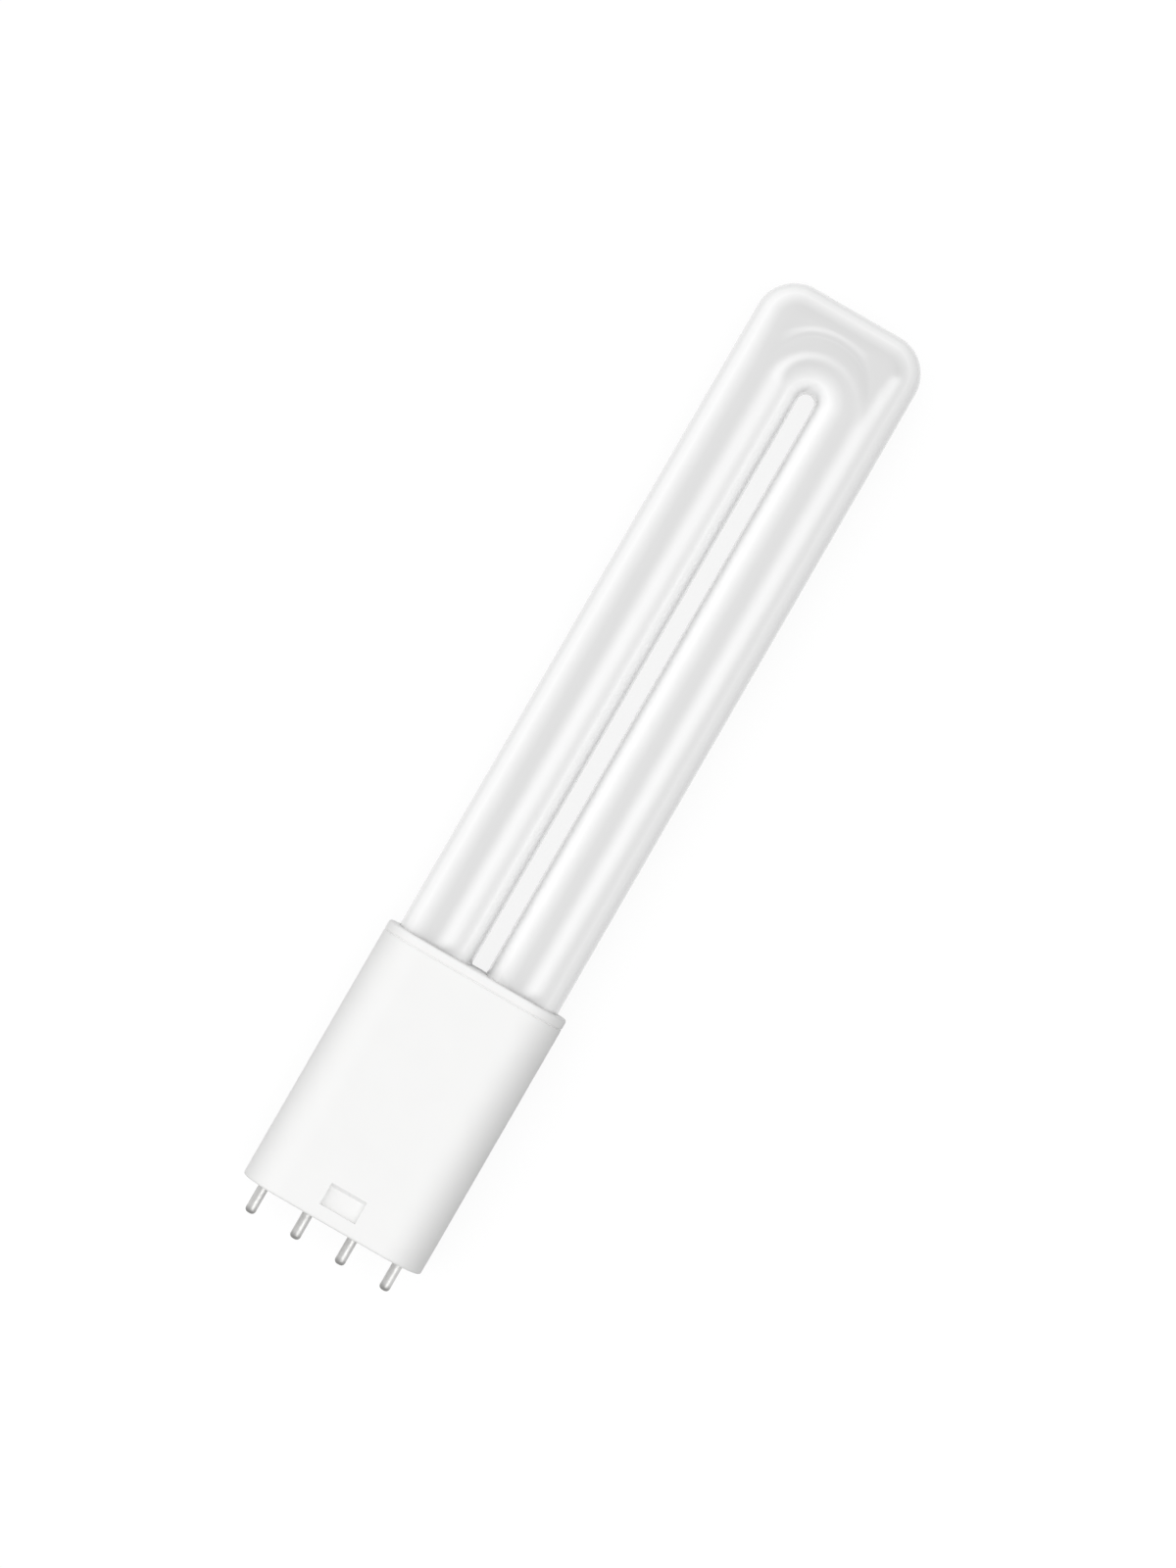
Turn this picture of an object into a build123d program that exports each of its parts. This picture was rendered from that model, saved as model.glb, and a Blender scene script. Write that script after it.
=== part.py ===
from build123d import *

import os
from math import sqrt

# Lengths in millimetres. X runs across the lamp, Y from the pins to the far end, Z out of the front.
# Y is 0 on the end face of the cap and Z is 0 on the row of pins.

# Twin tube
TUBE_DIAMETER = 17.6
TUBE_WALL = 1.1
SLOT_WIDTH = 3.6
BODY_LENGTH = 224.1
BEND_HEIGHT = 20.4
END_THICKNESS = 15.4
END_CORNER = 9.0
END_LAND = 0.2
END_SIDE_INSET = 0.18
END_OVERLAP = 2.0
TUBE_INSERTION = 10.0

# Cap shell and its lid
CAP_LENGTH = 62.4
CAP_SIDE_MARGIN = 2.3
CAP_FACE_MARGIN = 2.7
CAP_CORNER = 9.5
CAP_WALL = 1.6
CAP_END_WALL = 3.0
CAP_EDGE = 0.6
SEAM_EDGE = 0.25
LID_THICKNESS = 2.2
LID_EDGE = 0.5
LID_SPIGOT = 6.0
LID_CLEARANCE = 0.15
SOCKET_CLEARANCE = 0.1

# Catch notch in each wide face of the cap
NOTCH_WIDTH = 8.6
NOTCH_LENGTH = 5.2
NOTCH_FROM_END = 3.2
NOTCH_DEPTH = 1.2
NOTCH_RAMP = 0.8
NOTCH_PAD_MARGIN = 1.4

# Contact pins
PIN_COUNT = 4
PIN_PITCH = 11.0
PIN_DIAMETER = 2.4
PIN_LENGTH = 6.9
PIN_TIP = 0.9
PIN_NECK_DIAMETER = 2.0
PIN_FLANGE_DIAMETER = 3.4
PIN_FLANGE_THICKNESS = 0.8
PIN_TAIL_DIAMETER = 1.6
PIN_TAIL_LENGTH = 5.0
SOLDER_GAP = 0.1

# Driver board and the ribs that hold it
BOARD_THICKNESS = 1.6
BOARD_CHAMFER = 1.5
BOARD_SIDE_GAP = 0.3
BOARD_END_GAP = 0.5
BOARD_LED_GAP = 4.0
RIB_REACH = 2.0
RIB_THICKNESS = 1.5
RIB_GAP = 0.1

# Parts on the driver board, in rows behind the tails of the pins
PART_GAP = 1.0
CORE_SIZE = (13.0, 13.0, 6.0)
CORE_LIMB = 2.0
CORE_CENTRE_LIMB = 2.8
COIL_HEIGHT = 9.4
COIL_GAP = 0.15
COIL_EDGE = 0.8
CAPACITOR_DIAMETER = 10.0
CAPACITOR_HEIGHT = 9.0
CAPACITOR_EDGE = 0.6
CAPACITOR_GROOVE = 0.4
CAPACITOR_GROOVE_AT = 1.8
FILM_SIZE = (7.2, 4.5, 8.0)
FILM_EDGE = 0.6
CHOKE_DIAMETER = 6.5
CHOKE_HEIGHT = 7.5
CHOKE_EDGE = 0.7
RECTIFIER_SIZE = (4.7, 3.9, 1.6)
RECTIFIER_LEAD_COUNT = 2
RECTIFIER_LEAD_PITCH = 2.0
CHIP_SIZE = (3.9, 4.9, 1.5)
CHIP_LEAD_COUNT = 4
CHIP_STAND = 0.15
CHIP_LEAD_PITCH = 1.27
CHIP_LEAD_WIDTH = 0.45
CHIP_LEAD_REACH = 1.0
CHIP_LEAD_THICKNESS = 0.3
RESISTOR_DIAMETER = 2.6
RESISTOR_LENGTH = 7.0
RESISTOR_EDGE = 0.5
WIRE_DIAMETER = 0.6
WIRE_REACH = 1.6

# Lighting boards
LED_BOARD_WIDTH = 10.0
LED_BOARD_THICKNESS = 1.0
LED_BOARD_EDGE_GAP = 0.3
LED_BOARD_TAIL = 4.0
LED_BOARD_END_GAP = 4.0
LED_COUNT = 20
LED_SIZE = (3.5, 2.8, 0.8)
LED_WINDOW = 0.4
LED_WINDOW_DEPTH = 0.2
BED_WIDTH = 7.0
BED_GAP = 0.02
BED_START = 2.0

# Wires from the driver board to the lighting boards
LEAD_DIAMETER = 1.2
LEAD_PITCH = 3.0
LEAD_BEND = 1.5
LEAD_ON_BOARD = 3.0
LEAD_PAST_BOARD = 0.8
LEAD_ON_LED_BOARD = 3.0
LEAD_GAP = 0.05

# Derived sizes
TUBE_RADIUS = TUBE_DIAMETER / 2
LEG_X = (TUBE_DIAMETER + SLOT_WIDTH) / 2
TUBE_SPAN = 2 * TUBE_DIAMETER + SLOT_WIDTH
BEND_Y = BODY_LENGTH - BEND_HEIGHT - SLOT_WIDTH / 2
TUBE_START = CAP_LENGTH - TUBE_INSERTION
CAP_WIDTH = TUBE_SPAN + 2 * CAP_SIDE_MARGIN
CAP_DEPTH = TUBE_DIAMETER + 2 * CAP_FACE_MARGIN
SHELL_LENGTH = CAP_LENGTH - LID_THICKNESS
PIN_X = [(i - (PIN_COUNT - 1) / 2) * PIN_PITCH for i in range(PIN_COUNT)]
BOARD_TOP = -PIN_TAIL_DIAMETER / 2 - SOLDER_GAP
BOARD_BOTTOM = BOARD_TOP - BOARD_THICKNESS
BOARD_START = CAP_END_WALL + PIN_FLANGE_THICKNESS + BOARD_END_GAP
LED_BOARD_START = TUBE_START - LED_BOARD_TAIL
LED_BOARD_END = BEND_Y - LED_BOARD_END_GAP
BOARD_END = LED_BOARD_START - BOARD_LED_GAP
BORE_RADIUS = TUBE_RADIUS - TUBE_WALL
LED_BOARD_BOTTOM = -sqrt((BORE_RADIUS - LED_BOARD_EDGE_GAP) ** 2 - (LED_BOARD_WIDTH / 2) ** 2)
LED_BOARD_TOP = LED_BOARD_BOTTOM + LED_BOARD_THICKNESS

# Rows of parts on the driver board, each starting clear of the row before it
FIRST_ROW = CAP_END_WALL + PIN_FLANGE_THICKNESS + PIN_TAIL_LENGTH + PART_GAP
SECOND_ROW = FIRST_ROW + RESISTOR_DIAMETER + PART_GAP
THIRD_ROW = max(SECOND_ROW + RECTIFIER_SIZE[1], FIRST_ROW + CHOKE_DIAMETER) + PART_GAP
FOURTH_ROW = THIRD_ROW + max(CORE_SIZE[1], CAPACITOR_DIAMETER) + PART_GAP
RESISTOR_HALF_SPAN = RESISTOR_LENGTH / 2 + WIRE_REACH + WIRE_DIAMETER / 2
SIDE_X = CHOKE_DIAMETER / 2 + PART_GAP + RESISTOR_HALF_SPAN


def across(y):
    """Plane square to the lamp's axis, at the given distance from the end face."""
    return Plane(origin=(0, y, 0), x_dir=(1, 0, 0), z_dir=(0, 1, 0))


def prism(sketch, start, end):
    """Solid of one section along the lamp's axis."""
    return extrude(across(start) * sketch, amount=end - start)


def span(low, high):
    """Box between two corners."""
    return Pos(*low) * Box(*(b - a for a, b in zip(low, high)), align=(Align.MIN, Align.MIN, Align.MIN))


def cap_outline(inset):
    """Section of the cap, drawn in from its outside by an inset."""
    return RectangleRounded(CAP_WIDTH - 2 * inset, CAP_DEPTH - 2 * inset, CAP_CORNER - inset)


def cap_half_width(inset, z):
    """Half width of the cap's section at one height."""
    radius = CAP_CORNER - inset
    past_flat = max(0, abs(z) - (CAP_DEPTH / 2 - CAP_CORNER))
    return CAP_WIDTH / 2 - CAP_CORNER + sqrt(radius**2 - past_flat**2)


BOARD_HALF = cap_half_width(CAP_WALL, BOARD_BOTTOM) - BOARD_SIDE_GAP


def tube_form(inset, start):
    """U tube with a squared end, drawn in from its outside by an inset."""
    path = (
        Line((LEG_X, start), (LEG_X, BEND_Y))
        + CenterArc((0, BEND_Y), LEG_X, 0, 180)
        + Line((-LEG_X, BEND_Y), (-LEG_X, start))
    )
    section = across(start) * Pos(LEG_X, 0) * Circle(TUBE_RADIUS - inset)
    return sweep(section, path=path) + squared_end(inset)


def squared_end(inset):
    """Block that squares the outside of the bend, a little thinner than the tube."""
    half_width = TUBE_SPAN / 2 - END_SIDE_INSET - inset
    half_thickness = END_THICKNESS / 2 - inset
    top = BODY_LENGTH - inset
    bottom = BEND_Y - END_OVERLAP
    # The bar is made longer than needed, so that its lower rounded end is cut away below.
    length = 2 * (top - bottom)
    outline = Pos(0, top - length / 2) * RectangleRounded(2 * half_width, length, END_CORNER - inset)
    bar = extrude(outline, amount=half_thickness, both=True)
    rounding = half_thickness - END_LAND / 2
    bar = fillet(bar.faces().filter_by(Axis.Z).edges(), rounding)
    bar &= span((-half_width, bottom, -half_thickness), (half_width, top, half_thickness))
    bar -= span((-LEG_X, bottom, -half_thickness), (LEG_X, BEND_Y, half_thickness))
    return bar - Pos(0, BEND_Y) * Cylinder(LEG_X, 2 * half_thickness)


def twin_tube():
    """Hollow opal tube, open at both ends inside the cap."""
    return tube_form(0, TUBE_START) - tube_form(TUBE_WALL, TUBE_START - TUBE_WALL)


def catch_notch():
    """Material taken from the front face by the catch notch."""
    face = CAP_DEPTH / 2
    near = NOTCH_FROM_END
    far = NOTCH_FROM_END + NOTCH_LENGTH
    floor = face - NOTCH_DEPTH
    above = face + NOTCH_DEPTH
    rise = NOTCH_RAMP / NOTCH_DEPTH * (above - face)
    points = [(near, floor), (far - NOTCH_RAMP, floor), (far + rise, above), (near, above)]
    profile = make_face(Polyline(*points, close=True))
    return extrude(Plane.YZ * profile, amount=NOTCH_WIDTH / 2, both=True)


def notch_pad():
    """Thicker wall behind the catch notch."""
    half = NOTCH_WIDTH / 2 + NOTCH_PAD_MARGIN
    inner = CAP_DEPTH / 2 - CAP_WALL - NOTCH_DEPTH
    outer = CAP_DEPTH / 2 - CAP_WALL / 2
    far = NOTCH_FROM_END + NOTCH_LENGTH + NOTCH_PAD_MARGIN
    return span((-half, CAP_END_WALL / 2, inner), (half, far, outer))


def board_ribs():
    """Ribs of one side wall, above and below the edge of the driver board."""
    inner = BOARD_HALF - RIB_REACH
    outer = CAP_WIDTH / 2 - CAP_WALL / 2
    start = CAP_END_WALL / 2
    lower = span((inner, start, BOARD_BOTTOM - RIB_THICKNESS), (outer, BOARD_END, BOARD_BOTTOM))
    above = BOARD_TOP + RIB_GAP
    upper = span((inner, FIRST_ROW, above), (outer, BOARD_END, above + RIB_THICKNESS))
    return lower + upper


def base_housing():
    """Moulded cap shell, closed at the pin end and open at the tube end."""
    shell = prism(cap_outline(0), 0, SHELL_LENGTH)
    shell = fillet(shell.faces().sort_by(Axis.Y)[0].edges(), CAP_EDGE)
    shell = chamfer(shell.faces().sort_by(Axis.Y)[-1].edges(), SEAM_EDGE)
    shell -= prism(cap_outline(CAP_WALL), CAP_END_WALL, SHELL_LENGTH)
    ribs = board_ribs()
    shell += ribs
    shell += mirror(ribs, about=Plane.YZ)
    for turn in (0, 180):
        turned = Rot(0, turn, 0)
        shell += turned * notch_pad()
        shell -= turned * catch_notch()
    for x in PIN_X:
        shell -= prism(Pos(x, 0) * Circle(PIN_NECK_DIAMETER / 2), 0, CAP_END_WALL)
    return shell


def tube_collar():
    """Lid of the cap shell, with a socket for each leg of the tube."""
    lid = prism(cap_outline(0), SHELL_LENGTH, CAP_LENGTH)
    lid = fillet(lid.faces().sort_by(Axis.Y)[-1].edges(), LID_EDGE)
    lid = chamfer(lid.faces().sort_by(Axis.Y)[0].edges(), SEAM_EDGE)
    spigot_start = SHELL_LENGTH - LID_SPIGOT
    lid += prism(cap_outline(CAP_WALL + LID_CLEARANCE), spigot_start, SHELL_LENGTH)
    for x in (-LEG_X, LEG_X):
        lid -= prism(Pos(x, 0) * Circle(TUBE_RADIUS + SOCKET_CLEARANCE), spigot_start, CAP_LENGTH)
    return lid


def contact_pin(x):
    """Turned pin: rounded tip, neck in the end wall, flange behind it and a tail on the board."""
    pin = PIN_DIAMETER / 2
    neck = PIN_NECK_DIAMETER / 2
    flange = PIN_FLANGE_DIAMETER / 2
    tail = PIN_TAIL_DIAMETER / 2
    flange_end = CAP_END_WALL + PIN_FLANGE_THICKNESS
    tail_end = flange_end + PIN_TAIL_LENGTH
    points = [
        (0, -PIN_LENGTH),
        (pin, -PIN_LENGTH),
        (pin, 0),
        (neck, 0),
        (neck, CAP_END_WALL),
        (flange, CAP_END_WALL),
        (flange, flange_end),
        (tail, flange_end),
        (tail, tail_end),
        (0, tail_end),
    ]
    profile = make_face(Polyline(*points, close=True))
    tip = profile.vertices().group_by(Axis.Y)[0].sort_by(Axis.X)[-1]
    profile = fillet(tip, PIN_TIP)
    return Pos(x, 0, 0) * revolve(profile, axis=Axis.Y)


def driver_board():
    """Circuit board that slides between the ribs of the cap shell."""
    low = (-BOARD_HALF, BOARD_START, BOARD_BOTTOM)
    board = span(low, (BOARD_HALF, BOARD_END, BOARD_TOP))
    return chamfer(board.edges().filter_by(Axis.Z), BOARD_CHAMFER)


def on_board(x, y, part):
    """Stands a part, drawn on the plane Z = 0, on the driver board."""
    return Pos(x, y, BOARD_TOP) * part


def beside_middle(size, row):
    """Place of a part of this width and length in a row, to the right of the board's middle."""
    return (size[0] + PART_GAP) / 2, row + size[1] / 2


def coil_window():
    """Width of the core's window along the coil, and across it."""
    return CORE_SIZE[0] - 2 * CORE_LIMB, CORE_SIZE[1] - 2 * CORE_LIMB


def transformer_core():
    """Ferrite core of two outer limbs and one centre limb."""
    length, width = coil_window()
    core = Box(*CORE_SIZE) - Box(length, width, CORE_SIZE[2])
    core += Box(length + CORE_LIMB, CORE_CENTRE_LIMB, CORE_SIZE[2])
    x, y = beside_middle(CORE_SIZE, THIRD_ROW)
    return on_board(-x, y, Pos(0, 0, COIL_HEIGHT / 2) * core)


def transformer_winding():
    """Taped coil around the centre limb of the core, standing on the board."""
    length, width = coil_window()
    coil = Box(length - 2 * COIL_GAP, width - 2 * COIL_GAP, COIL_HEIGHT)
    coil = fillet(coil.edges().filter_by(Axis.X), COIL_EDGE)
    coil -= Box(length, CORE_CENTRE_LIMB + 2 * COIL_GAP, CORE_SIZE[2] + 2 * COIL_GAP)
    x, y = beside_middle(CORE_SIZE, THIRD_ROW)
    return on_board(-x, y, Pos(0, 0, COIL_HEIGHT / 2) * coil)


def bulk_capacitor():
    """Can capacitor standing on the board, with a rolled groove near its foot."""
    radius = CAPACITOR_DIAMETER / 2
    points = [
        (0, 0),
        (radius, 0),
        (radius, CAPACITOR_GROOVE_AT - CAPACITOR_GROOVE),
        (radius - CAPACITOR_GROOVE, CAPACITOR_GROOVE_AT),
        (radius, CAPACITOR_GROOVE_AT + CAPACITOR_GROOVE),
        (radius, CAPACITOR_HEIGHT - CAPACITOR_EDGE),
        (radius - CAPACITOR_EDGE, CAPACITOR_HEIGHT),
        (0, CAPACITOR_HEIGHT),
    ]
    can = revolve(Plane.XZ * make_face(Polyline(*points, close=True)), axis=Axis.Z)
    return on_board(*beside_middle((CAPACITOR_DIAMETER, CAPACITOR_DIAMETER), THIRD_ROW), can)


def film_capacitor():
    """Boxed film capacitor standing on the board."""
    body = Pos(0, 0, FILM_SIZE[2] / 2) * Box(*FILM_SIZE)
    upper = body.edges().filter_by(Axis.Z) + body.faces().sort_by(Axis.Z)[-1].edges()
    x, y = beside_middle(FILM_SIZE, FOURTH_ROW)
    return on_board(-x, y, fillet(upper, FILM_EDGE))


def input_choke():
    """Sleeved drum choke standing on the board."""
    body = Pos(0, 0, CHOKE_HEIGHT / 2) * Cylinder(CHOKE_DIAMETER / 2, CHOKE_HEIGHT)
    body = chamfer(body.edges().sort_by(Axis.Z)[-1], CHOKE_EDGE)
    return on_board(0, FIRST_ROW + CHOKE_DIAMETER / 2, body)


def leaded_package(size, leads_per_side, lead_pitch):
    """Flat package with bent leads along its two long sides, standing on the plane Z = 0."""
    width, length, height = size
    package = Pos(0, 0, CHIP_STAND + height / 2) * Box(width, length, height)
    foot = width / 2 + CHIP_LEAD_REACH
    shoulder = CHIP_STAND + height / 2
    for i in range(leads_per_side):
        y = (i - (leads_per_side - 1) / 2) * lead_pitch
        near = y - CHIP_LEAD_WIDTH / 2
        far = y + CHIP_LEAD_WIDTH / 2
        upright = foot - CHIP_LEAD_REACH / 2
        lead = span((width / 4, near, shoulder - CHIP_LEAD_THICKNESS), (upright, far, shoulder))
        lead += span((upright - CHIP_LEAD_THICKNESS, near, 0), (upright, far, shoulder))
        lead += span((upright - CHIP_LEAD_THICKNESS, near, 0), (foot, far, CHIP_LEAD_THICKNESS))
        package += lead
        package += mirror(lead, about=Plane.YZ)
    return package


def rectifier(side):
    """Bridge rectifier behind one pair of pins."""
    package = leaded_package(RECTIFIER_SIZE, RECTIFIER_LEAD_COUNT, RECTIFIER_LEAD_PITCH)
    return on_board(side * SIDE_X, SECOND_ROW + RECTIFIER_SIZE[1] / 2, package)


def driver_chip():
    """Control chip of the driver."""
    width_over_leads = CHIP_SIZE[0] + 2 * CHIP_LEAD_REACH
    place = beside_middle((width_over_leads, CHIP_SIZE[1]), FOURTH_ROW)
    return on_board(*place, leaded_package(CHIP_SIZE, CHIP_LEAD_COUNT, CHIP_LEAD_PITCH))


def fuse_resistor(side):
    """Axial resistor lying behind one pair of pins, with its leads bent down at both ends."""
    radius = RESISTOR_DIAMETER / 2
    body = Rot(0, 90, 0) * Cylinder(radius, RESISTOR_LENGTH)
    body = chamfer(body.edges().filter_by(GeomType.CIRCLE), RESISTOR_EDGE)
    reach = RESISTOR_LENGTH / 2 + WIRE_REACH
    leads = Polyline((-reach, 0, -radius), (-reach, 0, 0), (reach, 0, 0), (reach, 0, -radius))
    section = Plane(origin=leads @ 0, z_dir=leads % 0) * Circle(WIRE_DIAMETER / 2)
    body += sweep(section, path=leads, transition=Transition.RIGHT)
    return on_board(side * SIDE_X, FIRST_ROW + radius, Pos(0, 0, radius) * body)


def led_board(side):
    """Lighting board of one leg, reaching out of the tube into the cap."""
    half = LED_BOARD_WIDTH / 2
    board = span((-half, LED_BOARD_START, LED_BOARD_BOTTOM), (half, LED_BOARD_END, LED_BOARD_TOP))
    return Pos(side * LEG_X, 0, 0) * board


def leds(side):
    """Light-emitting packages of one board, each with a sunk window."""
    package = Pos(0, 0, LED_SIZE[2] / 2) * Box(LED_SIZE[1], LED_SIZE[0], LED_SIZE[2])
    window = Box(LED_SIZE[1] - 2 * LED_WINDOW, LED_SIZE[0] - 2 * LED_WINDOW, 2 * LED_WINDOW_DEPTH)
    package -= Pos(0, 0, LED_SIZE[2]) * window
    pitch = (LED_BOARD_END - TUBE_START) / LED_COUNT
    places = [TUBE_START + (i + 1 / 2) * pitch for i in range(LED_COUNT)]
    return Compound([Pos(side * LEG_X, y, LED_BOARD_TOP) * package for y in places])


def adhesive_bed(side):
    """Silicone bed between a lighting board and the inside of the tube."""
    round_bar = Circle(BORE_RADIUS - BED_GAP)
    depth = BORE_RADIUS + LED_BOARD_BOTTOM
    # The plane across the lamp has its own Y pointing down, so the bed lies on the plus side.
    band = Pos(0, BORE_RADIUS - depth / 2) * Rectangle(BED_WIDTH, depth)
    return Pos(side * LEG_X, 0, 0) * prism(round_bar & band, TUBE_START + BED_START, LED_BOARD_END)


def led_lead(side, offset):
    """Insulated wire from the driver board down to one lighting board."""
    x = side * LEG_X + offset
    upper = BOARD_TOP + LEAD_DIAMETER / 2 + LEAD_GAP
    lower = LED_BOARD_TOP + LEAD_DIAMETER / 2 + LEAD_GAP
    points = [
        (x, BOARD_END - LEAD_ON_BOARD, upper),
        (x, BOARD_END + LEAD_PAST_BOARD, upper),
        (x, LED_BOARD_START, lower),
        (x, LED_BOARD_START + LEAD_ON_LED_BOARD, lower),
    ]
    path = FilletPolyline(*points, radius=LEAD_BEND)
    return sweep(Plane(origin=path @ 0, z_dir=path % 0) * Circle(LEAD_DIAMETER / 2), path=path)


parts = {
    "twin_tube": twin_tube(),
    "base_housing": base_housing(),
    "tube_collar": tube_collar(),
    "driver_board": driver_board(),
    "transformer_core": transformer_core(),
    "transformer_winding": transformer_winding(),
    "bulk_capacitor": bulk_capacitor(),
    "film_capacitor": film_capacitor(),
    "input_choke": input_choke(),
    "driver_chip": driver_chip(),
}
for number, pin_x in enumerate(PIN_X, start=1):
    parts[f"contact_pin_{number}"] = contact_pin(pin_x)
for name, side in (("left", -1), ("right", 1)):
    parts[f"rectifier_{name}"] = rectifier(side)
    parts[f"fuse_resistor_{name}"] = fuse_resistor(side)
    parts[f"led_board_{name}"] = led_board(side)
    parts[f"leds_{name}"] = leds(side)
    parts[f"adhesive_bed_{name}"] = adhesive_bed(side)
    parts[f"led_lead_{name}_plus"] = led_lead(side, LEAD_PITCH / 2)
    parts[f"led_lead_{name}_minus"] = led_lead(side, -LEAD_PITCH / 2)

os.makedirs("parts", exist_ok=True)
for name, shape in parts.items():
    export_step(shape, f"parts/{name}.step")
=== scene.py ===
"""Twin tube lamp lying on its back, seen from straight above: opal tube, white cap and plated pins."""

import math

import bmesh
import bpy
from mathutils import Matrix, Vector


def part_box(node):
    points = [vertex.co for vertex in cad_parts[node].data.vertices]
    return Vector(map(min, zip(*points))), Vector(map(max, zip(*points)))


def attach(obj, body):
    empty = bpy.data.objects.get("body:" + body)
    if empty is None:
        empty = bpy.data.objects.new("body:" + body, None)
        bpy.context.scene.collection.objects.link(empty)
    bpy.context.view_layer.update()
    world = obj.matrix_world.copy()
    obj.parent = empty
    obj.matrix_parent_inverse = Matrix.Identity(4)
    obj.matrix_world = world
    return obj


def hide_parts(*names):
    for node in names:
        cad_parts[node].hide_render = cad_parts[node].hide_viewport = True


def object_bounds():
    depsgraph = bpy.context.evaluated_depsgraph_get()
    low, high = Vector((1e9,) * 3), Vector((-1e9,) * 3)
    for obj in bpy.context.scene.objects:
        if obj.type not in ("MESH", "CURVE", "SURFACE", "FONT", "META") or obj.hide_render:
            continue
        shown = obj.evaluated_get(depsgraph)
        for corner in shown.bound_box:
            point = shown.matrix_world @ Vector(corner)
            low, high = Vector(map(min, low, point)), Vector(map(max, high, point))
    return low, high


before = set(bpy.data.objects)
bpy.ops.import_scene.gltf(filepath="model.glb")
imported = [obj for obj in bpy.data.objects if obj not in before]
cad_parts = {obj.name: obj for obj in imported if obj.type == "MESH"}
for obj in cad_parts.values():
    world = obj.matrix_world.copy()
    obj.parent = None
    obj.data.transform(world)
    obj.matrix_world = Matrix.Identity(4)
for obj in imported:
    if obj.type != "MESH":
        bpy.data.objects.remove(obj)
cad_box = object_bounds()

# Sizes of the tube in metres: its outline comes from the frame, the rest is as in the solid it stands for.
# The end runs from the slot to the top, and a small gap keeps it within the box of the solids.
TUBE_LOW, TUBE_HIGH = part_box("twin_tube")
TUBE_WALL = 0.0011
SLOT_WIDTH = 0.0036
END_LENGTH = 0.0204
END_CORNER = 0.009
END_GAP = 0.00001
TUBE_RADIUS = (TUBE_HIGH.x - SLOT_WIDTH / 2) / 2
LEG_X = TUBE_RADIUS + SLOT_WIDTH / 2
TUBE_START = TUBE_LOW.y
TUBE_TOP = TUBE_HIGH.y - END_GAP
BEND_Y = TUBE_HIGH.y - END_LENGTH - SLOT_WIDTH / 2

# Softer form of the tube's squared end: its thickness, how far along the legs fade into it at the middle
# and at the sides, the share of its thickness that is rounded, the slope and the reach of the dip along
# the ring of the bend, and the rounding of the crease there
END_HALF_THICKNESS = 0.0081
MIDDLE_FADE = 0.0115
SIDE_FADE = 0.022
END_ROUNDING = 0.84
CREASE_SLOPE = 0.11
CREASE_REACH = 0.0158
CREASE_BLEND = 0.0005

# Steps of the tube's skin, and of the search for the squared end within a few radii
LEG_STEPS = 12
BEND_STEPS = 128
AROUND_STEPS = 216
SEARCH_STEPS = 30
SEARCH_RADIUS = 4 * TUBE_RADIUS

# Noise in the surfaces: its detail, and the part of its range that changes the gloss
NOISE_DETAIL = 3.0
NOISE_RANGE = (0.3, 0.7)

# Moulded surfaces: colour, roughness, cells of grain per metre, and depth of the grain in metres
MOULDED = {
    "white_cap": ((0.875, 0.875, 0.87), 0.42, 2600.0, 0.00004),
    "dark_moulding": ((0.03, 0.03, 0.033), 0.5, 3000.0, 0.00003),
    "red_insulation": ((0.5, 0.03, 0.03), 0.35, 2500.0, 0.00002),
    "black_insulation": ((0.03, 0.03, 0.03), 0.35, 2500.0, 0.00002),
    "resistor_body": ((0.2, 0.33, 0.38), 0.4, 2500.0, 0.00002),
    "led_package": ((0.85, 0.72, 0.25), 0.3, 3000.0, 0.00001),
    "silicone": ((0.8, 0.8, 0.78), 0.45, 1200.0, 0.00008),
    "ferrite": ((0.05, 0.05, 0.055), 0.6, 1500.0, 0.00006),
    "coil_tape": ((0.75, 0.5, 0.05), 0.35, 2500.0, 0.00002),
    "can_sleeve": ((0.03, 0.035, 0.06), 0.3, 2500.0, 0.00002),
    "film_case": ((0.4, 0.13, 0.04), 0.3, 2000.0, 0.00003),
}

# What all moulded surfaces share: clouds of a darker shade, the spread of the gloss, and the grain's look
CLOUD_SCALE = 90.0
CLOUD_SHADE = 0.03
GLOSS_SCALE = 260.0
GLOSS_SPREAD = 0.15
GRAIN_DETAIL = 2.0
GRAIN_STRENGTH = 0.25

# Opal wall: painted greys by how far it faces the front or the back, from painted shade at its rims, over
# painted light from behind at its turned sides, to the painted shadow of the boards on the faces over them;
# then its gloss, its faint waves and its coat
OPAL_PAINTED_GREYS = ((0.0, 0.9), (0.42, 0.9), (0.58, 0.98), (0.74, 0.98), (0.955, 0.66), (1.0, 0.65))
OPAL_GLOSS_SCALE = 120.0
OPAL_ROUGHNESS = (0.15, 0.19)
OPAL_WAVE_SCALE = 45.0
OPAL_WAVE_DETAIL = 1.0
OPAL_WAVE_STRENGTH = 0.1
OPAL_WAVE_DEPTH = 0.0004
OPAL_SPECULAR = 1.0
OPAL_COAT = 1.0
OPAL_COAT_ROUGHNESS = 0.16
OPAL_COAT_IOR = 1.65

# Pins: colours of the plating and of the painted shade at the pin's end, how far from the pin's end the one
# turns into the other, and the plating's clouds, gloss and turning marks
PIN_COUNT = 4
PIN_COLOUR = (0.63, 0.627, 0.618)
PIN_END_SHADE_COLOUR = (0.25, 0.247, 0.242)
PIN_END_SHADE_SPAN = (0.0018, 0.0001)
PIN_CLOUD_SCALE = 700.0
PIN_CLOUD_SHADE = 0.16
PIN_GLOSS_SCALE = 1500.0
PIN_ROUGHNESS = (0.31, 0.45)
PIN_RING_SCALE = 900.0
PIN_RING_STRENGTH = 0.1
PIN_RING_DEPTH = 0.00003

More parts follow.
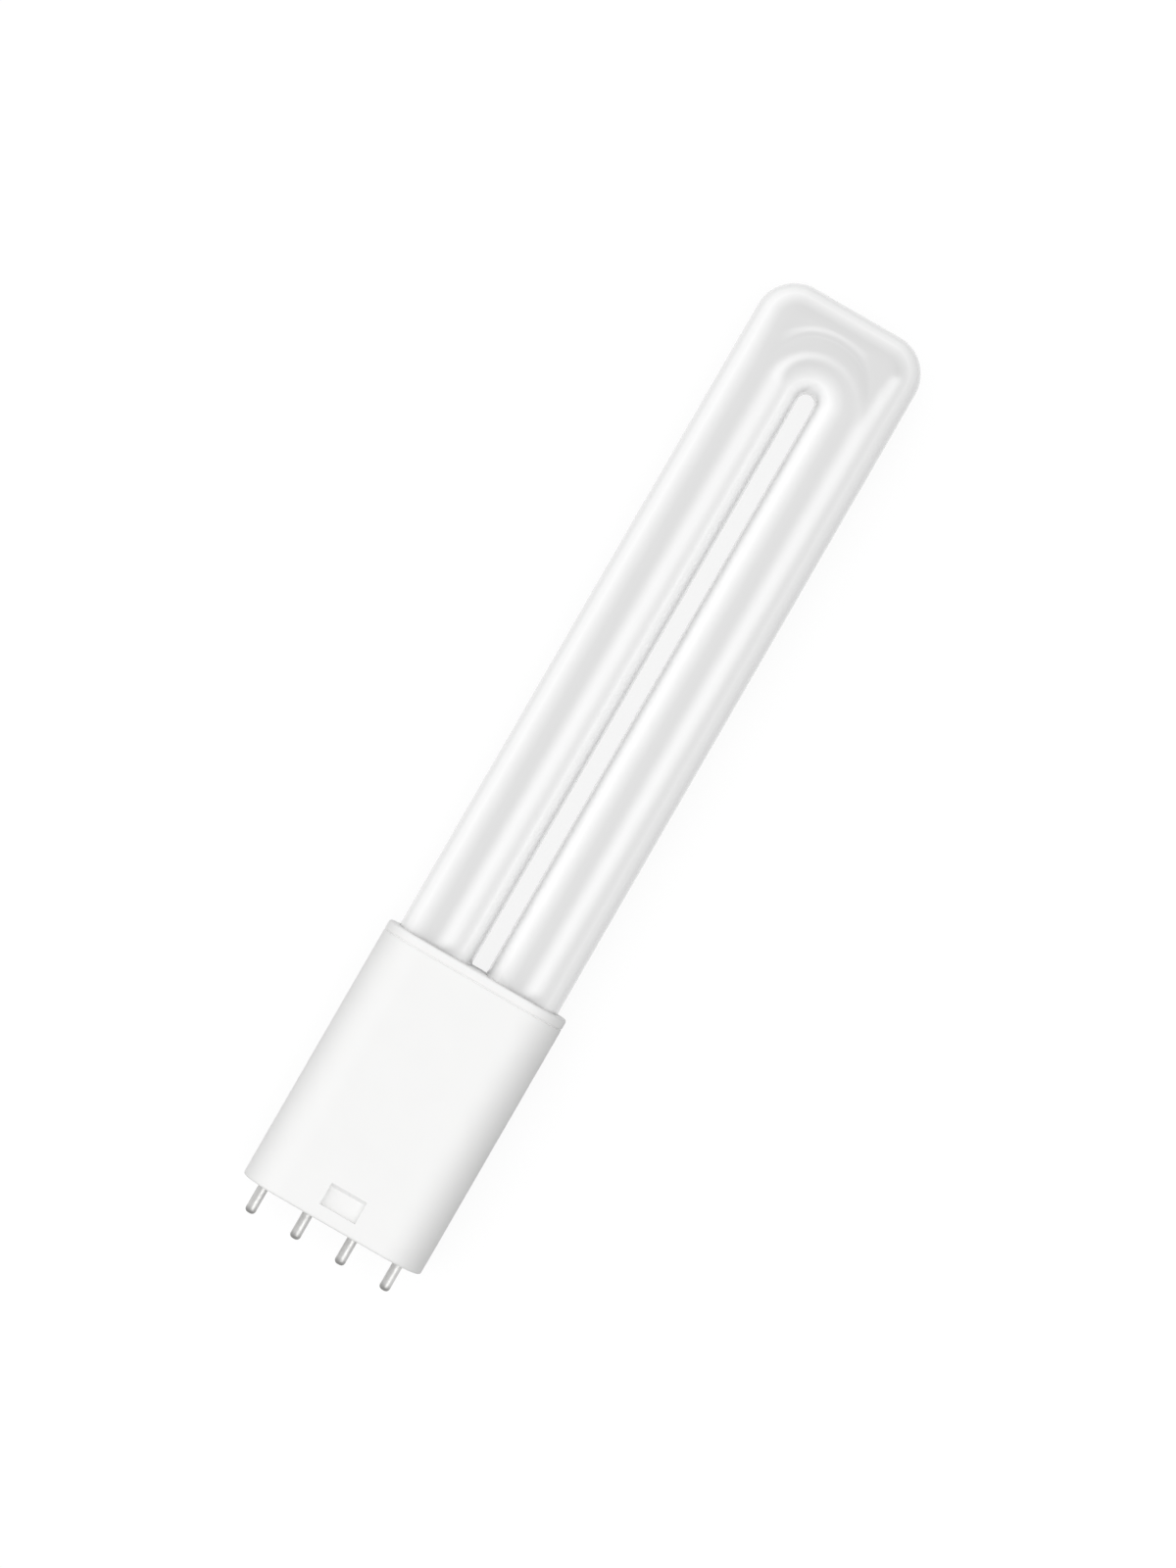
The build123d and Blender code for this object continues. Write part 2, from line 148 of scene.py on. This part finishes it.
# Boards: colours of the lacquer and of the tracks, the lacquer's second shade and its gloss, and the
# tracks' pattern and height
BOARDS = {
    "circuit_board": ((0.02, 0.16, 0.05), (0.05, 0.3, 0.1)),
    "led_board": ((0.82, 0.83, 0.82), (0.7, 0.71, 0.7)),
}
BOARD_SHADE = 0.12
BOARD_GLOSS_SCALE = 400.0
BOARD_ROUGHNESS = (0.3, 0.42)
TRACK_SCALE = 260.0
TRACK_WIDTH = 0.012
TRACK_OFFSET = 0.37
TRACK_SQUASH = 1.6
TRACK_STRENGTH = 0.2
TRACK_HEIGHT = 0.00005

# Surface of each node, and of the nodes that are there on the left and on the right
NODE_SURFACES = {
    "base_housing": "white_cap",
    "tube_collar": "white_cap",
    "driver_board": "circuit_board",
    "transformer_core": "ferrite",
    "transformer_winding": "coil_tape",
    "bulk_capacitor": "can_sleeve",
    "film_capacitor": "film_case",
    "input_choke": "dark_moulding",
    "driver_chip": "dark_moulding",
}
SIDED_SURFACES = {
    "rectifier_{}": "dark_moulding",
    "fuse_resistor_{}": "resistor_body",
    "led_board_{}": "led_board",
    "leds_{}": "led_package",
    "adhesive_bed_{}": "silicone",
    "led_lead_{}_plus": "red_insulation",
    "led_lead_{}_minus": "black_insulation",
}

# Picture: lens and sensor, centre and height of the view in metres, and how far the lamp leans
LENS_MM = 140.0
SENSOR_MM = 36.0
VIEW_CENTRE = (0.00043, 0.1084)
VIEW_HEIGHT = 0.3343
LEAN = math.radians(30.0)

# Floor: size in metres, how it takes light, how much of that is seen, and how white it is to the eye
FLOOR_SIZE = 6.0
FLOOR_GREY = 0.22
FLOOR_SEEN_GREY = 0.15
FLOOR_GLOW = 0.87

# Light: a sky that fades from the lamp's left to its right and gains towards its top, and one long soft
# light in metres and watts, which grows along each of its sides from nothing at the ends to the middle
SKY_LEVEL = 0.47
SKY_SLOPE = 0.47
SKY_TOP = 0.65
STRIP_AWAY = 6.0
STRIP_ACROSS = math.radians(28.0)
STRIP_SLANT = math.radians(15.0)
STRIP_SIZE = (11.0, 4.0)
STRIP_POWER = 76.0
STRIP_MIDDLE = 0.5
STRIP_PEAK = 2.0


class Nodes:
    """Short names for building one node tree."""

    def __init__(self, tree):
        self.tree = tree

    def add(self, kind, **settings):
        node = self.tree.nodes.new(kind)
        for name, value in settings.items():
            setattr(node, name, value)
        return node

    def link(self, output, socket):
        self.tree.links.new(output, socket)

    def place(self, kind="Object"):
        """Texture coordinates, the object's own ones if nothing else is said."""
        return self.add("ShaderNodeTexCoord").outputs[kind]

    def axes(self, vector):
        """The three parts of a vector."""
        node = self.add("ShaderNodeSeparateXYZ")
        self.link(vector, node.inputs["Vector"])
        return node.outputs

    def combine(self, operation, *values):
        """One value worked out from others."""
        node = self.add("ShaderNodeMath", operation=operation)
        for value, socket in zip(values, node.inputs):
            self.link(value, socket)
        return node.outputs["Value"]

    def noise(self, scale, detail=NOISE_DETAIL):
        """Noise in the object's own coordinates, in cells per metre."""
        noise = self.add("ShaderNodeTexNoise")
        noise.inputs["Scale"].default_value = scale
        noise.inputs["Detail"].default_value = detail
        self.link(self.place(), noise.inputs["Vector"])
        return noise.outputs["Fac"]

    def remap(self, value, low, high, new_low, new_high, smooth=False):
        """A value moved from one range to another."""
        node = self.add("ShaderNodeMapRange")
        if smooth:
            node.interpolation_type = "SMOOTHSTEP"
        self.link(value, node.inputs["Value"])
        node.inputs["From Min"].default_value = low
        node.inputs["From Max"].default_value = high
        node.inputs["To Min"].default_value = new_low
        node.inputs["To Max"].default_value = new_high
        return node.outputs["Result"]

    def gloss(self, scale, low, high):
        """Roughness that wanders between two values."""
        return self.remap(self.noise(scale), *NOISE_RANGE, low, high)

    def mix(self, factor, first, second):
        """Blend of two colours by a factor."""
        node = self.add("ShaderNodeMix", data_type="RGBA")
        self.link(factor, node.inputs["Factor"])
        node.inputs["A"].default_value = (*first, 1)
        node.inputs["B"].default_value = (*second, 1)
        return node.outputs["Result"]

    def ramp(self, value, greys):
        """Grey that follows a value through the given places."""
        node = self.add("ShaderNodeValToRGB")
        stops = node.color_ramp.elements
        while len(stops) < len(greys):
            stops.new(0)
        for stop, (place, grey) in zip(stops, greys):
            stop.position = place
            stop.color = (grey, grey, grey, 1)
        self.link(value, node.inputs["Fac"])
        return node.outputs["Color"]

    def seen(self):
        """One where a ray shows the background: to the eye, in a reflection or through glass."""
        path = self.add("ShaderNodeLightPath").outputs
        shown = path["Is Camera Ray"]
        for kind in ("Is Glossy Ray", "Is Transmission Ray"):
            shown = self.combine("MAXIMUM", shown, path[kind])
        return shown

    def bump(self, height, strength, depth):
        """Normal that is tilted by a height, with the depth in metres."""
        node = self.add("ShaderNodeBump")
        node.inputs["Strength"].default_value = strength
        node.inputs["Distance"].default_value = depth
        self.link(height, node.inputs["Height"])
        return node.outputs["Normal"]


def new_material(name):
    """A material, the sockets of its shader, and its tree's builder."""
    material = bpy.data.materials.new(name)
    material.use_nodes = True
    shader = material.node_tree.nodes["Principled BSDF"]
    return material, shader.inputs, Nodes(material.node_tree)


def darkened(colour, amount):
    """A colour made a little darker."""
    return tuple(channel * (1 - amount) for channel in colour)


def moulded(name, colour, roughness, grain, depth):
    """Surface with a fine grain, uneven gloss and a faint unevenness of colour."""
    material, surface, nodes = new_material(name)
    cloud = nodes.noise(CLOUD_SCALE)
    nodes.link(nodes.mix(cloud, colour, darkened(colour, CLOUD_SHADE)), surface["Base Color"])
    gloss = nodes.gloss(GLOSS_SCALE, roughness * (1 - GLOSS_SPREAD), roughness * (1 + GLOSS_SPREAD))
    nodes.link(gloss, surface["Roughness"])
    nodes.link(nodes.bump(nodes.noise(grain, GRAIN_DETAIL), GRAIN_STRENGTH, depth), surface["Normal"])
    return material


def opal_glass():
    """White coated glass with painted light and shade by how far it faces the front: painted shadow of the
    boards on the faces over them, painted light from behind at the turned sides, painted shade at the rims.
    """
    material, surface, nodes = new_material("opal_glass")
    facing = nodes.combine("ABSOLUTE", nodes.axes(nodes.place("Normal"))["Z"])
    # Painted shade and painted light: the grey follows how far the wall faces the front or the back
    nodes.link(nodes.ramp(facing, OPAL_PAINTED_GREYS), surface["Base Color"])
    nodes.link(nodes.gloss(OPAL_GLOSS_SCALE, *OPAL_ROUGHNESS), surface["Roughness"])
    waves = nodes.noise(OPAL_WAVE_SCALE, OPAL_WAVE_DETAIL)
    nodes.link(nodes.bump(waves, OPAL_WAVE_STRENGTH, OPAL_WAVE_DEPTH), surface["Normal"])
    surface["Specular IOR Level"].default_value = OPAL_SPECULAR
    surface["Coat Weight"].default_value = OPAL_COAT
    surface["Coat Roughness"].default_value = OPAL_COAT_ROUGHNESS
    surface["Coat IOR"].default_value = OPAL_COAT_IOR
    return material


def plated_pin():
    """Plated metal with fine turning marks round the pin, and painted shade that darkens it towards its
    end.
    """
    material, surface, nodes = new_material("plated_pin")
    surface["Metallic"].default_value = 1.0
    place = nodes.place()
    plating = nodes.mix(nodes.noise(PIN_CLOUD_SCALE), PIN_COLOUR, darkened(PIN_COLOUR, PIN_CLOUD_SHADE))
    pin_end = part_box("contact_pin_1")[0].y
    span = (pin_end + height for height in PIN_END_SHADE_SPAN)
    # Painted shade: the plating turns darker towards the pin's end
    end_shade = nodes.add("ShaderNodeMix", data_type="RGBA")
    nodes.link(nodes.remap(nodes.axes(place)["Y"], *span, 0.0, 1.0, smooth=True), end_shade.inputs["Factor"])
    nodes.link(plating, end_shade.inputs["A"])
    end_shade.inputs["B"].default_value = (*PIN_END_SHADE_COLOUR, 1)
    nodes.link(end_shade.outputs["Result"], surface["Base Color"])
    nodes.link(nodes.gloss(PIN_GLOSS_SCALE, *PIN_ROUGHNESS), surface["Roughness"])
    rings = nodes.add("ShaderNodeTexWave", bands_direction="Y")
    rings.inputs["Scale"].default_value = PIN_RING_SCALE
    nodes.link(place, rings.inputs["Vector"])
    nodes.link(nodes.bump(rings.outputs["Fac"], PIN_RING_STRENGTH, PIN_RING_DEPTH), surface["Normal"])
    return material


def circuit_board(name, colour, track_colour):
    """Lacquered board with tracks that show as narrow bands of another shade."""
    material, surface, nodes = new_material(name)
    tracks = nodes.add("ShaderNodeTexBrick", offset=TRACK_OFFSET, squash=TRACK_SQUASH)
    tracks.inputs["Scale"].default_value = TRACK_SCALE
    tracks.inputs["Mortar Size"].default_value = TRACK_WIDTH
    tracks.inputs["Color1"].default_value = (*colour, 1)
    tracks.inputs["Color2"].default_value = (*darkened(colour, BOARD_SHADE), 1)
    tracks.inputs["Mortar"].default_value = (*track_colour, 1)
    nodes.link(nodes.place(), tracks.inputs["Vector"])
    nodes.link(tracks.outputs["Color"], surface["Base Color"])
    nodes.link(nodes.gloss(BOARD_GLOSS_SCALE, *BOARD_ROUGHNESS), surface["Roughness"])
    nodes.link(nodes.bump(tracks.outputs["Fac"], TRACK_STRENGTH, TRACK_HEIGHT), surface["Normal"])
    return material


def smooth_step(part):
    """A share from zero to one, eased at both ends."""
    part = min(max(part, 0), 1)
    return part * part * (3 - 2 * part)


def block_height(x, y, inset):
    """Height of the squared end at a place counted from the bend's centre, or below zero outside of it.

    The end thins out from the legs, is rounded towards its edge and dips along the ring of the bend.
    """
    aside = max(abs(x) - (LEG_X + TUBE_RADIUS - END_CORNER), 0)
    above = max(y - (TUBE_TOP - BEND_Y - END_CORNER), 0)
    from_edge = END_CORNER - math.hypot(aside, above) - inset
    if from_edge <= 0:
        return from_edge
    sideways = min(abs(x) / LEG_X, 1) ** 2
    eased = smooth_step(y / (MIDDLE_FADE + (SIDE_FADE - MIDDLE_FADE) * sideways))
    half_thickness = TUBE_RADIUS - (TUBE_RADIUS - END_HALF_THICKNESS) * eased - inset
    rounding = half_thickness * (1 - (1 - END_ROUNDING) * eased)
    turned = max(1 - from_edge / rounding, 0)
    away = math.hypot(x, y)
    dip = CREASE_SLOPE * max(CREASE_REACH - away, 0) * (y / away) ** 2
    return half_thickness * math.sqrt(1 - turned**2) - dip


def block_radius(turn, angle, inset):
    """Distance from the tube's centre line to the squared end, in one direction of its section."""
    near = 0.0
    far = SEARCH_RADIUS
    for _ in range(SEARCH_STEPS):
        radius = (near + far) / 2
        reach = LEG_X + radius * math.cos(turn)
        height = block_height(reach * math.cos(angle), reach * math.sin(angle), inset)
        if radius * abs(math.sin(turn)) < height:
            near = radius
        else:
            far = radius
    return near


def soft_max(first, second, blend):
    """The larger of two lengths, with a rounded step from one to the other."""
    gap = abs(first - second)
    if gap >= blend:
        return max(first, second)
    return max(first, second) + (blend - gap) ** 2 / (4 * blend)


def section_radius(turn, angle, inset):
    """Radius of the tube's section in one direction, at one angle of the bend.

    The step from the tube to the squared end loses its rounding at the legs, the ridge and the outer edge.
    """
    tube_radius = TUBE_RADIUS - inset
    if math.cos(turn) <= 0:
        return tube_radius
    blend = CREASE_BLEND * (1 - (1 - math.sin(angle)) ** 3) * math.sin(2 * turn) ** 2
    return soft_max(tube_radius, block_radius(turn, angle, inset), blend)


def tube_stations():
    """Places along the tube: centre, outward direction and angle in the bend, or none on the legs."""
    stations = []
    for i in range(LEG_STEPS):
        y = TUBE_START + (BEND_Y - TUBE_START) * i / LEG_STEPS
        stations.append((Vector((LEG_X, y, 0)), Vector((1, 0, 0)), None))
    for i in range(BEND_STEPS + 1):
        angle = math.pi * i / BEND_STEPS
        outward = Vector((math.cos(angle), math.sin(angle), 0))
        stations.append((Vector((0, BEND_Y, 0)) + LEG_X * outward, outward, angle))
    for i in range(LEG_STEPS):
        y = BEND_Y + (TUBE_START - BEND_Y) * (i + 1) / LEG_STEPS
        stations.append((Vector((-LEG_X, y, 0)), Vector((-1, 0, 0)), None))
    return stations


def tube_skin(mesh, inset):
    """Rings of points of one skin of the tube."""
    rings = []
    for centre, outward, angle in tube_stations():
        ring = []
        for j in range(AROUND_STEPS):
            turn = 2 * math.pi * j / AROUND_STEPS
            radius = TUBE_RADIUS - inset
            if angle is not None:
                radius = section_radius(turn, angle, inset)
            offset = radius * math.cos(turn) * outward + Vector((0, 0, radius * math.sin(turn)))
            ring.append(mesh.verts.new(centre + offset))
        rings.append(ring)
    return rings


def join_rings(mesh, first, second):
    """Band of faces between two rings."""
    for j in range(len(first)):
        k = (j + 1) % len(first)
        mesh.faces.new((first[j], first[k], second[k], second[j]))


def make_tube(material):
    """Hollow tube of an outer and an inner skin, with a rim at each open end."""
    mesh = bmesh.new()
    outer = tube_skin(mesh, 0.0)
    inner = tube_skin(mesh, TUBE_WALL)
    for skin in (outer, inner):
        for first, second in zip(skin, skin[1:]):
            join_rings(mesh, first, second)
    join_rings(mesh, outer[0], inner[0])
    join_rings(mesh, outer[-1], inner[-1])
    bmesh.ops.recalc_face_normals(mesh, faces=mesh.faces)
    for face in mesh.faces:
        face.smooth = True
    data = bpy.data.meshes.new("opal_tube")
    mesh.to_mesh(data)
    mesh.free()
    data.materials.append(material)
    tube = bpy.data.objects.new("opal_tube", data)
    bpy.context.scene.collection.objects.link(tube)
    return tube


def paint(node, material):
    """Gives a carried-over solid its material."""
    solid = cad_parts[node]
    solid.data.materials.clear()
    solid.data.materials.append(material)


def make_floor(height):
    """Pale floor that keeps the lamp's shadow and is white to the eye and in reflections."""
    bpy.ops.mesh.primitive_plane_add(size=FLOOR_SIZE, location=(0, 0, height))
    floor = bpy.context.object
    floor.name = "floor"
    material = bpy.data.materials.new("floor")
    material.use_nodes = True
    nodes = Nodes(material.node_tree)
    material.node_tree.nodes.remove(material.node_tree.nodes["Principled BSDF"])
    paper = nodes.add("ShaderNodeBsdfDiffuse")
    glow = nodes.add("ShaderNodeEmission")
    seen = nodes.seen()
    nodes.link(nodes.remap(seen, 0.0, 1.0, FLOOR_GREY, FLOOR_SEEN_GREY), paper.inputs["Color"])
    nodes.link(nodes.remap(seen, 0.0, 1.0, 0.0, FLOOR_GLOW), glow.inputs["Strength"])
    both = nodes.add("ShaderNodeAddShader")
    nodes.link(paper.outputs["BSDF"], both.inputs[0])
    nodes.link(glow.outputs["Emission"], both.inputs[1])
    nodes.link(both.outputs["Shader"], material.node_tree.nodes["Material Output"].inputs["Surface"])
    floor.data.materials.append(material)


def make_sky():
    """Soft light, stronger from the left and from above; white to the eye and in reflections."""
    world = bpy.data.worlds.new("studio")
    bpy.context.scene.world = world
    world.use_nodes = True
    nodes = Nodes(world.node_tree)
    background = world.node_tree.nodes["Background"]
    background.inputs["Color"].default_value = (1, 1, 1, 1)
    direction = nodes.axes(nodes.place("Generated"))
    across = nodes.remap(direction["X"], -1.0, 1.0, SKY_LEVEL + SKY_SLOPE, SKY_LEVEL - SKY_SLOPE)
    above = nodes.remap(direction["Z"], 0.0, 1.0, 0.0, SKY_TOP)
    level = nodes.add("ShaderNodeMix", data_type="FLOAT")
    nodes.link(nodes.seen(), level.inputs["Factor"])
    nodes.link(nodes.combine("ADD", across, above), level.inputs["A"])
    level.inputs["B"].default_value = 1.0
    nodes.link(level.outputs["Result"], background.inputs["Strength"])


def strip_level(nodes, place):
    """Brightness along one side of the long light: nothing at its ends and the most at its middle."""
    from_end = nodes.add("ShaderNodeMath", operation="PINGPONG")
    from_end.inputs[1].default_value = STRIP_MIDDLE
    nodes.link(place, from_end.inputs[0])
    return nodes.remap(from_end.outputs["Value"], 0.0, STRIP_MIDDLE, 0.0, STRIP_PEAK, smooth=True)


def make_strip():
    """Long soft light across the lamp, turned to its middle."""
    light = bpy.data.lights.new("strip", "AREA")
    light.shape = "RECTANGLE"
    light.size, light.size_y = STRIP_SIZE
    light.energy = STRIP_POWER
    light.use_nodes = True
    nodes = Nodes(light.node_tree)
    place = nodes.axes(nodes.add("ShaderNodeNewGeometry").outputs["Parametric"])
    level = nodes.combine("MULTIPLY", strip_level(nodes, place["X"]), strip_level(nodes, place["Y"]))
    nodes.link(level, light.node_tree.nodes["Emission"].inputs["Strength"])
    strip = bpy.data.objects.new("strip", light)
    middle = Matrix.Translation((0, VIEW_CENTRE[1], 0))
    lean = Matrix.Rotation(STRIP_ACROSS, 4, "Y")
    away = Matrix.Translation((0, 0, STRIP_AWAY)) @ Matrix.Rotation(STRIP_SLANT, 4, "Z")
    strip.matrix_world = middle @ lean @ away
    bpy.context.scene.collection.objects.link(strip)


def make_camera():
    """Camera straight above the lamp, turned so that the lamp leans to the right."""
    data = bpy.data.cameras.new("camera")
    data.lens = LENS_MM
    data.sensor_fit = "VERTICAL"
    data.sensor_height = SENSOR_MM
    camera = bpy.data.objects.new("camera", data)
    distance = VIEW_HEIGHT * LENS_MM / SENSOR_MM
    camera.location = (*VIEW_CENTRE, distance)
    camera.rotation_euler = (0, 0, LEAN)
    bpy.context.scene.collection.objects.link(camera)
    bpy.context.scene.camera = camera


surfaces = {name: moulded(name, *look) for name, look in MOULDED.items()}
surfaces.update({name: circuit_board(name, *colours) for name, colours in BOARDS.items()})
pin_metal = plated_pin()

tube = make_tube(opal_glass())
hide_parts("twin_tube")
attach(tube, "root")

for node, surface in NODE_SURFACES.items():
    paint(node, surfaces[surface])
for side in ("left", "right"):
    for node, surface in SIDED_SURFACES.items():
        paint(node.format(side), surfaces[surface])
for number in range(1, PIN_COUNT + 1):
    paint(f"contact_pin_{number}", pin_metal)

make_floor(cad_box[0][2])
make_sky()
make_strip()
make_camera()
bpy.context.scene.view_settings.view_transform = "Standard"
